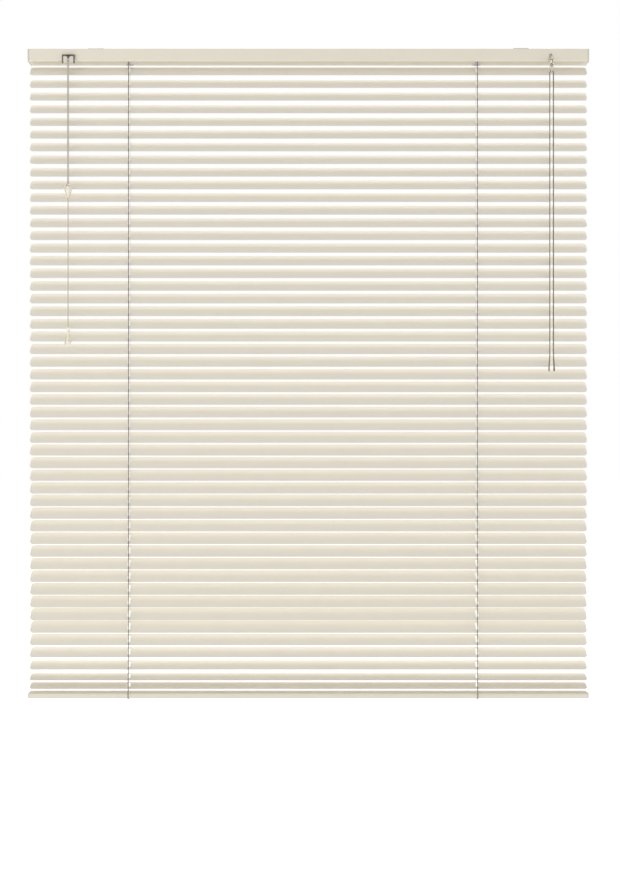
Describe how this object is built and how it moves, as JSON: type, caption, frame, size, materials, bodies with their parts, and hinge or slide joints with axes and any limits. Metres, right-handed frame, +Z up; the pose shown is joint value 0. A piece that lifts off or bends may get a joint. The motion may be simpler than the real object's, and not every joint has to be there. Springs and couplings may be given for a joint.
{
  "type": "venetian blind",
  "caption": "Cream aluminium venetian blind: channel head rail with tilt wand and cord lock, crowned tilting slats on string ladders, lift cords, pull cord with tassel, and bottom rail.",
  "frame": {"origin": "middle of the line between the two brackets' screw holes, on their top faces", "axes": "+X to the right seen from the room, +Y into the window, +Z up, against the fixing surface"},
  "size_m": [0.95, 0.0399, 1.1026],
  "materials": {
    "cream_enamel": "satin enamel on aluminium",
    "cream_plastic": "satin",
    "white_plastic": "matte",
    "lock_plastic": "satin",
    "bracket_steel": "zinc plated",
    "plated_steel": "zinc plated",
    "clear_acrylic": "clear",
    "clear_plastic": "translucent",
    "ladder_yarn": "braided polyester",
    "cord_yarn": "braided polyester"
  },
  "bodies": {
    "blind_frame": {"head_rail": "cream_enamel", "rail_end_caps": "cream_plastic", "mounting_brackets": "bracket_steel", "drum_cradles": "white_plastic", "tilter_housing": "white_plastic", "cord_lock": "lock_plastic", "ladder_ends": "ladder_yarn", "lift_cords": "cord_yarn", "pull_cords": "cord_yarn", "connector_and_tassel": "clear_plastic", "bottom_rail": "cream_enamel", "lower_slats": "cream_enamel"},
    "tilt_shaft": {"tilt_shaft": "plated_steel"},
    "tilter_worm": {"tilter_worm": "cream_plastic"},
    "wand_coupler": {"wand_coupler": "clear_acrylic"},
    "wand": {"wand": "clear_acrylic"},
    "lock_roller": {"lock_roller": "plated_steel"},
    "slat_01": {"slat_01": "cream_enamel"},
    "slat_02": {"slat_02": "cream_enamel"},
    "slat_03": {"slat_03": "cream_enamel"},
    "slat_04": {"slat_04": "cream_enamel"},
    "slat_05": {"slat_05": "cream_enamel"},
    "slat_06": {"slat_06": "cream_enamel"},
    "slat_07": {"slat_07": "cream_enamel"},
    "slat_08": {"slat_08": "cream_enamel"},
    "slat_09": {"slat_09": "cream_enamel"},
    "slat_10": {"slat_10": "cream_enamel"},
    "slat_11": {"slat_11": "cream_enamel"},
    "slat_12": {"slat_12": "cream_enamel"},
    "slat_13": {"slat_13": "cream_enamel"},
    "slat_14": {"slat_14": "cream_enamel"},
    "slat_15": {"slat_15": "cream_enamel"},
    "slat_16": {"slat_16": "cream_enamel"},
    "slat_17": {"slat_17": "cream_enamel"},
    "slat_18": {"slat_18": "cream_enamel"},
    "slat_19": {"slat_19": "cream_enamel"},
    "slat_20": {"slat_20": "cream_enamel"},
    "slat_21": {"slat_21": "cream_enamel"},
    "slat_22": {"slat_22": "cream_enamel"},
    "slat_23": {"slat_23": "cream_enamel"},
    "slat_24": {"slat_24": "cream_enamel"},
    "slat_25": {"slat_25": "cream_enamel"},
    "slat_26": {"slat_26": "cream_enamel"},
    "slat_27": {"slat_27": "cream_enamel"},
    "slat_28": {"slat_28": "cream_enamel"},
    "slat_29": {"slat_29": "cream_enamel"},
    "slat_30": {"slat_30": "cream_enamel"},
    "slat_31": {"slat_31": "cream_enamel"},
    "slat_32": {"slat_32": "cream_enamel"},
    "slat_33": {"slat_33": "cream_enamel"},
    "slat_34": {"slat_34": "cream_enamel"},
    "slat_35": {"slat_35": "cream_enamel"},
    "slat_36": {"slat_36": "cream_enamel"},
    "slat_37": {"slat_37": "cream_enamel"},
    "slat_38": {"slat_38": "cream_enamel"},
    "slat_39": {"slat_39": "cream_enamel"},
    "slat_40": {"slat_40": "cream_enamel"},
    "slat_41": {"slat_41": "cream_enamel"},
    "front_ladder_strings": {"front_ladder_strings": "ladder_yarn"},
    "rear_ladder_strings": {"rear_ladder_strings": "ladder_yarn"}
  },
  "joints": [
    {"name": "tilt", "type": "hinge", "parent": "blind_frame", "child": "tilt_shaft", "pos_m": [0, 0, -0.0106], "axis": [1, 0, 0], "range_deg": [-112.5, 17.5], "deforming": ["ladder_ends"]},
    {"name": "worm_turn", "type": "hinge", "parent": "blind_frame", "child": "tilter_worm", "pos_m": [0.41, -0.00481, -0.00579], "axis": [0, -0.7071, -0.7071], "range_deg": [-1575, 245]},
    {"name": "wand_swing", "type": "hinge", "parent": "blind_frame", "child": "wand_coupler", "pos_m": [0.41, -0.0192, -0.02018], "axis": [1, 0, 0], "range_deg": [-50, 0]},
    {"name": "wand_turn", "type": "hinge", "parent": "wand_coupler", "child": "wand", "pos_m": [0.41, -0.0192, -0.02018], "axis": [0, 0, -1], "range_deg": [-1575, 245]},
    {"name": "lock_release", "type": "slide", "parent": "blind_frame", "child": "lock_roller", "axis": [0, 0.7071, 0.7071], "range_m": [0, 0.002]},
    {"name": "slat_01_tilt", "type": "hinge", "parent": "blind_frame", "child": "slat_01", "pos_m": [0, 0, -0.034], "axis": [1, 0, 0], "range_deg": [-112.5, 17.5]},
    {"name": "slat_02_tilt", "type": "hinge", "parent": "blind_frame", "child": "slat_02", "pos_m": [0, 0, -0.0555], "axis": [1, 0, 0], "range_deg": [-112.5, 17.5]},
    {"name": "slat_03_tilt", "type": "hinge", "parent": "blind_frame", "child": "slat_03", "pos_m": [0, 0, -0.077], "axis": [1, 0, 0], "range_deg": [-112.5, 17.5]},
    {"name": "slat_04_tilt", "type": "hinge", "parent": "blind_frame", "child": "slat_04", "pos_m": [0, 0, -0.0985], "axis": [1, 0, 0], "range_deg": [-112.5, 17.5]},
    {"name": "slat_05_tilt", "type": "hinge", "parent": "blind_frame", "child": "slat_05", "pos_m": [0, 0, -0.12], "axis": [1, 0, 0], "range_deg": [-112.5, 17.5]},
    {"name": "slat_06_tilt", "type": "hinge", "parent": "blind_frame", "child": "slat_06", "pos_m": [0, 0, -0.1415], "axis": [1, 0, 0], "range_deg": [-112.5, 17.5]},
    {"name": "slat_07_tilt", "type": "hinge", "parent": "blind_frame", "child": "slat_07", "pos_m": [0, 0, -0.163], "axis": [1, 0, 0], "range_deg": [-112.5, 17.5]},
    {"name": "slat_08_tilt", "type": "hinge", "parent": "blind_frame", "child": "slat_08", "pos_m": [0, 0, -0.1845], "axis": [1, 0, 0], "range_deg": [-112.5, 17.5]},
    {"name": "slat_09_tilt", "type": "hinge", "parent": "blind_frame", "child": "slat_09", "pos_m": [0, 0, -0.206], "axis": [1, 0, 0], "range_deg": [-112.5, 17.5]},
    {"name": "slat_10_tilt", "type": "hinge", "parent": "blind_frame", "child": "slat_10", "pos_m": [0, 0, -0.2275], "axis": [1, 0, 0], "range_deg": [-112.5, 17.5]},
    {"name": "slat_11_tilt", "type": "hinge", "parent": "blind_frame", "child": "slat_11", "pos_m": [0, 0, -0.249], "axis": [1, 0, 0], "range_deg": [-112.5, 17.5]},
    {"name": "slat_12_tilt", "type": "hinge", "parent": "blind_frame", "child": "slat_12", "pos_m": [0, 0, -0.2705], "axis": [1, 0, 0], "range_deg": [-112.5, 17.5]},
    {"name": "slat_13_tilt", "type": "hinge", "parent": "blind_frame", "child": "slat_13", "pos_m": [0, 0, -0.292], "axis": [1, 0, 0], "range_deg": [-112.5, 17.5]},
    {"name": "slat_14_tilt", "type": "hinge", "parent": "blind_frame", "child": "slat_14", "pos_m": [0, 0, -0.3135], "axis": [1, 0, 0], "range_deg": [-112.5, 17.5]},
    {"name": "slat_15_tilt", "type": "hinge", "parent": "blind_frame", "child": "slat_15", "pos_m": [0, 0, -0.335], "axis": [1, 0, 0], "range_deg": [-112.5, 17.5]},
    {"name": "slat_16_tilt", "type": "hinge", "parent": "blind_frame", "child": "slat_16", "pos_m": [0, 0, -0.3565], "axis": [1, 0, 0], "range_deg": [-112.5, 17.5]},
    {"name": "slat_17_tilt", "type": "hinge", "parent": "blind_frame", "child": "slat_17", "pos_m": [0, 0, -0.378], "axis": [1, 0, 0], "range_deg": [-112.5, 17.5]},
    {"name": "slat_18_tilt", "type": "hinge", "parent": "blind_frame", "child": "slat_18", "pos_m": [0, 0, -0.3995], "axis": [1, 0, 0], "range_deg": [-112.5, 17.5]},
    {"name": "slat_19_tilt", "type": "hinge", "parent": "blind_frame", "child": "slat_19", "pos_m": [0, 0, -0.421], "axis": [1, 0, 0], "range_deg": [-112.5, 17.5]},
    {"name": "slat_20_tilt", "type": "hinge", "parent": "blind_frame", "child": "slat_20", "pos_m": [0, 0, -0.4425], "axis": [1, 0, 0], "range_deg": [-112.5, 17.5]},
    {"name": "slat_21_tilt", "type": "hinge", "parent": "blind_frame", "child": "slat_21", "pos_m": [0, 0, -0.464], "axis": [1, 0, 0], "range_deg": [-112.5, 17.5]},
    {"name": "slat_22_tilt", "type": "hinge", "parent": "blind_frame", "child": "slat_22", "pos_m": [0, 0, -0.4855], "axis": [1, 0, 0], "range_deg": [-112.5, 17.5]},
    {"name": "slat_23_tilt", "type": "hinge", "parent": "blind_frame", "child": "slat_23", "pos_m": [0, 0, -0.507], "axis": [1, 0, 0], "range_deg": [-112.5, 17.5]},
    {"name": "slat_24_tilt", "type": "hinge", "parent": "blind_frame", "child": "slat_24", "pos_m": [0, 0, -0.5285], "axis": [1, 0, 0], "range_deg": [-112.5, 17.5]},
    {"name": "slat_25_tilt", "type": "hinge", "parent": "blind_frame", "child": "slat_25", "pos_m": [0, 0, -0.55], "axis": [1, 0, 0], "range_deg": [-112.5, 17.5]},
    {"name": "slat_26_tilt", "type": "hinge", "parent": "blind_frame", "child": "slat_26", "pos_m": [0, 0, -0.5715], "axis": [1, 0, 0], "range_deg": [-112.5, 17.5]},
    {"name": "slat_27_tilt", "type": "hinge", "parent": "blind_frame", "child": "slat_27", "pos_m": [0, 0, -0.593], "axis": [1, 0, 0], "range_deg": [-112.5, 17.5]},
    {"name": "slat_28_tilt", "type": "hinge", "parent": "blind_frame", "child": "slat_28", "pos_m": [0, 0, -0.6145], "axis": [1, 0, 0], "range_deg": [-112.5, 17.5]},
    {"name": "slat_29_tilt", "type": "hinge", "parent": "blind_frame", "child": "slat_29", "pos_m": [0, 0, -0.636], "axis": [1, 0, 0], "range_deg": [-112.5, 17.5]},
    {"name": "slat_30_tilt", "type": "hinge", "parent": "blind_frame", "child": "slat_30", "pos_m": [0, 0, -0.6575], "axis": [1, 0, 0], "range_deg": [-112.5, 17.5]},
    {"name": "slat_31_tilt", "type": "hinge", "parent": "blind_frame", "child": "slat_31", "pos_m": [0, 0, -0.679], "axis": [1, 0, 0], "range_deg": [-112.5, 17.5]},
    {"name": "slat_32_tilt", "type": "hinge", "parent": "blind_frame", "child": "slat_32", "pos_m": [0, 0, -0.7005], "axis": [1, 0, 0], "range_deg": [-112.5, 17.5]},
    {"name": "slat_33_tilt", "type": "hinge", "parent": "blind_frame", "child": "slat_33", "pos_m": [0, 0, -0.722], "axis": [1, 0, 0], "range_deg": [-112.5, 17.5]},
    {"name": "slat_34_tilt", "type": "hinge", "parent": "blind_frame", "child": "slat_34", "pos_m": [0, 0, -0.7435], "axis": [1, 0, 0], "range_deg": [-112.5, 17.5]},
    {"name": "slat_35_tilt", "type": "hinge", "parent": "blind_frame", "child": "slat_35", "pos_m": [0, 0, -0.765], "axis": [1, 0, 0], "range_deg": [-112.5, 17.5]},
    {"name": "slat_36_tilt", "type": "hinge", "parent": "blind_frame", "child": "slat_36", "pos_m": [0, 0, -0.7865], "axis": [1, 0, 0], "range_deg": [-112.5, 17.5]},
    {"name": "slat_37_tilt", "type": "hinge", "parent": "blind_frame", "child": "slat_37", "pos_m": [0, 0, -0.808], "axis": [1, 0, 0], "range_deg": [-112.5, 17.5]},
    {"name": "slat_38_tilt", "type": "hinge", "parent": "blind_frame", "child": "slat_38", "pos_m": [0, 0, -0.8295], "axis": [1, 0, 0], "range_deg": [-112.5, 17.5]},
    {"name": "slat_39_tilt", "type": "hinge", "parent": "blind_frame", "child": "slat_39", "pos_m": [0, 0, -0.851], "axis": [1, 0, 0], "range_deg": [-112.5, 17.5]},
    {"name": "slat_40_tilt", "type": "hinge", "parent": "blind_frame", "child": "slat_40", "pos_m": [0, 0, -0.8725], "axis": [1, 0, 0], "range_deg": [-112.5, 17.5]},
    {"name": "slat_41_tilt", "type": "hinge", "parent": "blind_frame", "child": "slat_41", "pos_m": [0, 0, -0.894], "axis": [1, 0, 0], "range_deg": [-112.5, 17.5]},
    {"name": "front_ladder_strings_follow", "type": "hinge", "parent": "slat_21", "child": "front_ladder_strings", "pos_m": [0, -0.00697, -0.47457], "axis": [-1, 0, 0], "range_deg": [-112.5, 17.5]},
    {"name": "rear_ladder_strings_follow", "type": "hinge", "parent": "slat_21", "child": "rear_ladder_strings", "pos_m": [0, 0.00992, -0.45614], "axis": [-1, 0, 0], "range_deg": [-112.5, 17.5]}
  ],
  "couplings": [
    {"joint": "worm_turn", "follows": "tilt", "ratio": 14},
    {"joint": "wand_turn", "follows": "tilt", "ratio": 14},
    {"joint": "slat_01_tilt", "follows": "tilt", "ratio": 1},
    {"joint": "slat_02_tilt", "follows": "tilt", "ratio": 1},
    {"joint": "slat_03_tilt", "follows": "tilt", "ratio": 1},
    {"joint": "slat_04_tilt", "follows": "tilt", "ratio": 1},
    {"joint": "slat_05_tilt", "follows": "tilt", "ratio": 1},
    {"joint": "slat_06_tilt", "follows": "tilt", "ratio": 1},
    {"joint": "slat_07_tilt", "follows": "tilt", "ratio": 1},
    {"joint": "slat_08_tilt", "follows": "tilt", "ratio": 1},
    {"joint": "slat_09_tilt", "follows": "tilt", "ratio": 1},
    {"joint": "slat_10_tilt", "follows": "tilt", "ratio": 1},
    {"joint": "slat_11_tilt", "follows": "tilt", "ratio": 1},
    {"joint": "slat_12_tilt", "follows": "tilt", "ratio": 1},
    {"joint": "slat_13_tilt", "follows": "tilt", "ratio": 1},
    {"joint": "slat_14_tilt", "follows": "tilt", "ratio": 1},
    {"joint": "slat_15_tilt", "follows": "tilt", "ratio": 1},
    {"joint": "slat_16_tilt", "follows": "tilt", "ratio": 1},
    {"joint": "slat_17_tilt", "follows": "tilt", "ratio": 1},
    {"joint": "slat_18_tilt", "follows": "tilt", "ratio": 1},
    {"joint": "slat_19_tilt", "follows": "tilt", "ratio": 1},
    {"joint": "slat_20_tilt", "follows": "tilt", "ratio": 1},
    {"joint": "slat_21_tilt", "follows": "tilt", "ratio": 1},
    {"joint": "slat_22_tilt", "follows": "tilt", "ratio": 1},
    {"joint": "slat_23_tilt", "follows": "tilt", "ratio": 1},
    {"joint": "slat_24_tilt", "follows": "tilt", "ratio": 1},
    {"joint": "slat_25_tilt", "follows": "tilt", "ratio": 1},
    {"joint": "slat_26_tilt", "follows": "tilt", "ratio": 1},
    {"joint": "slat_27_tilt", "follows": "tilt", "ratio": 1},
    {"joint": "slat_28_tilt", "follows": "tilt", "ratio": 1},
    {"joint": "slat_29_tilt", "follows": "tilt", "ratio": 1},
    {"joint": "slat_30_tilt", "follows": "tilt", "ratio": 1},
    {"joint": "slat_31_tilt", "follows": "tilt", "ratio": 1},
    {"joint": "slat_32_tilt", "follows": "tilt", "ratio": 1},
    {"joint": "slat_33_tilt", "follows": "tilt", "ratio": 1},
    {"joint": "slat_34_tilt", "follows": "tilt", "ratio": 1},
    {"joint": "slat_35_tilt", "follows": "tilt", "ratio": 1},
    {"joint": "slat_36_tilt", "follows": "tilt", "ratio": 1},
    {"joint": "slat_37_tilt", "follows": "tilt", "ratio": 1},
    {"joint": "slat_38_tilt", "follows": "tilt", "ratio": 1},
    {"joint": "slat_39_tilt", "follows": "tilt", "ratio": 1},
    {"joint": "slat_40_tilt", "follows": "tilt", "ratio": 1},
    {"joint": "slat_41_tilt", "follows": "tilt", "ratio": 1},
    {"joint": "front_ladder_strings_follow", "follows": "tilt", "ratio": 1},
    {"joint": "rear_ladder_strings_follow", "follows": "tilt", "ratio": 1}
  ]
}
